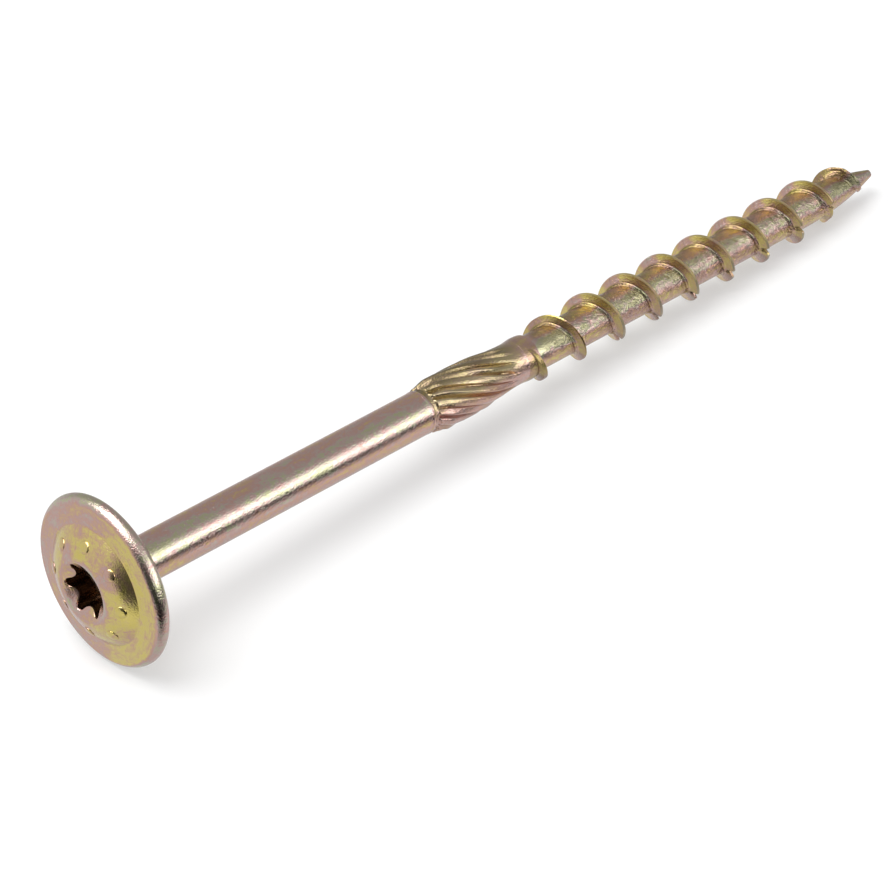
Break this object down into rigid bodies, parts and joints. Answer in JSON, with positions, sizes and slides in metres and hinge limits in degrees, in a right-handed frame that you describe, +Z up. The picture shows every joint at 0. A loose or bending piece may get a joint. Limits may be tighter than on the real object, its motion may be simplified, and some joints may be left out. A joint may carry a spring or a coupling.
{
  "type": "construction screw",
  "caption": "Long wood construction screw with a round washer head, star recess, plain shank, ribbed reamer and coarse notched thread, lying on its side.",
  "frame": {"origin": "centre of the bottom of the bounding box, on the surface the screw lies on", "axes": "+X along the screw towards its tip, +Z up; the screw's own axis dips towards the tip by about three degrees, as it lies on its head rim and one thread crest"},
  "size_m": [0.1442, 0.022, 0.022],
  "materials": {
    "zinc": "yellow passivated zinc plating on steel, with pink, olive and straw-coloured patches"
  },
  "bodies": {
    "root": {"screw": "zinc"}
  },
  "joints": []
}
